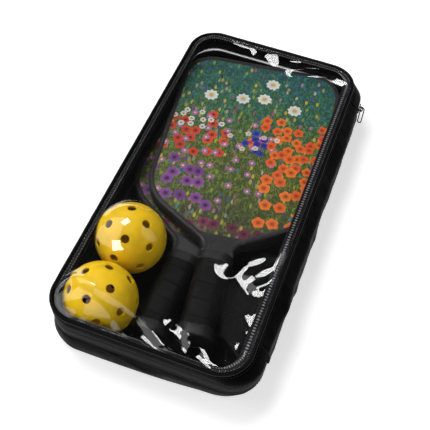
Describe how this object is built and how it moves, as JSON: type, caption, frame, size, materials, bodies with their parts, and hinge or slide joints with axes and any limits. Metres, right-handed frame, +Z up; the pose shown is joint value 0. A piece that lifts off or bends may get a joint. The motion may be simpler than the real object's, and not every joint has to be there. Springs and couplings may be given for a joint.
{
  "type": "paddle case",
  "caption": "Soft rectangular court-paddle case with a clear zipped cover, lying on its back and holding paddles and hole balls.",
  "frame": {"origin": "centre of the back panel's underside, on the surface the case lies on", "axes": "+Z up, out of the window; +Y along the case towards the paddle heads; +X across it towards the folding side"},
  "size_m": [0.2229, 0.4232, 0.0778],
  "materials": {
    "case_cloth": "black twill woven polyester, soft sheen",
    "seam_binding": "narrow woven binding tape",
    "zip_tape": "herringbone zip tape",
    "zip_coil": "nylon coil",
    "zip_metal": "black enamelled zinc",
    "clear_film": "clear glossy soft vinyl film",
    "piping": "cloth-covered piping cord",
    "paddle_core": "honeycomb slab",
    "printed_face": "composite sheet with a painted meadow print",
    "edge_guard": "charcoal moulded channel",
    "handle_foam": "foam pads",
    "grip_wrap": "perforated cushioned wrap",
    "grip_band": "rubber band",
    "butt_cap": "moulded cap",
    "ball_plastic": "yellow polyethylene, satin"
  },
  "bodies": {
    "tray": {"back_panel": "case_cloth", "lower_gusset": "case_cloth", "spine_lower": "case_cloth", "base_binding": "seam_binding", "lower_zip_tape": "zip_tape", "lower_zip_coil": "zip_coil", "zip_top_stop": "zip_metal", "zip_bottom_stop": "zip_metal"},
    "cover": {"upper_gusset": "case_cloth", "spine_upper": "case_cloth", "upper_zip_tape": "zip_tape", "upper_zip_coil": "zip_coil", "window_film": "clear_film", "window_piping": "piping", "window_binding": "seam_binding"},
    "slider": {"zip_slider": "zip_metal"},
    "pull": {"zip_pull": "zip_metal"},
    "upper_paddle": {"upper_paddle_core": "paddle_core", "upper_paddle_front_face": "printed_face", "upper_paddle_back_face": "printed_face", "upper_paddle_edge_guard": "edge_guard", "upper_paddle_handle_pads": "handle_foam", "upper_paddle_grip": "grip_wrap", "upper_paddle_grip_collar": "grip_band", "upper_paddle_butt_cap": "butt_cap"},
    "lower_paddle": {"lower_paddle_core": "paddle_core", "lower_paddle_front_face": "printed_face", "lower_paddle_back_face": "printed_face", "lower_paddle_edge_guard": "edge_guard", "lower_paddle_handle_pads": "handle_foam", "lower_paddle_grip": "grip_wrap", "lower_paddle_grip_collar": "grip_band", "lower_paddle_butt_cap": "butt_cap"},
    "low_ball": {"low_ball": "ball_plastic"},
    "high_ball": {"high_ball": "ball_plastic"}
  },
  "joints": [
    {"name": "cover_open", "type": "hinge", "parent": "tray", "child": "cover", "pos_m": [0.11081, 0, 0.035], "axis": [0, 1, 0], "range_deg": [0, 165]},
    {"name": "slider_travel", "type": "hinge", "parent": "tray", "child": "slider", "pos_m": [0.07581, 0.17907, 0.035], "axis": [0, 0, 1], "range_deg": [0, 90]},
    {"name": "pull_swing", "type": "hinge", "parent": "slider", "child": "pull", "pos_m": [0.11181, 0.17907, 0.035], "axis": [0, -1, 0], "range_deg": [0, 150]},
    {"name": "upper_paddle_shift", "type": "slide", "parent": "tray", "child": "upper_paddle", "axis": [0, -1, 0], "range_m": [0, 0.01]},
    {"name": "lower_paddle_shift", "type": "slide", "parent": "tray", "child": "lower_paddle", "axis": [0, -1, 0], "range_m": [0, 0.005]},
    {"name": "low_ball_roll", "type": "hinge", "parent": "tray", "child": "low_ball", "pos_m": [-0.06551, -0.16747, 0.0395], "axis": [1, 0, 0], "range_deg": [-180, 180]},
    {"name": "high_ball_roll", "type": "hinge", "parent": "tray", "child": "high_ball", "pos_m": [-0.06731, -0.09187, 0.0395], "axis": [1, 0, 0], "range_deg": [-180, 180]}
  ]
}
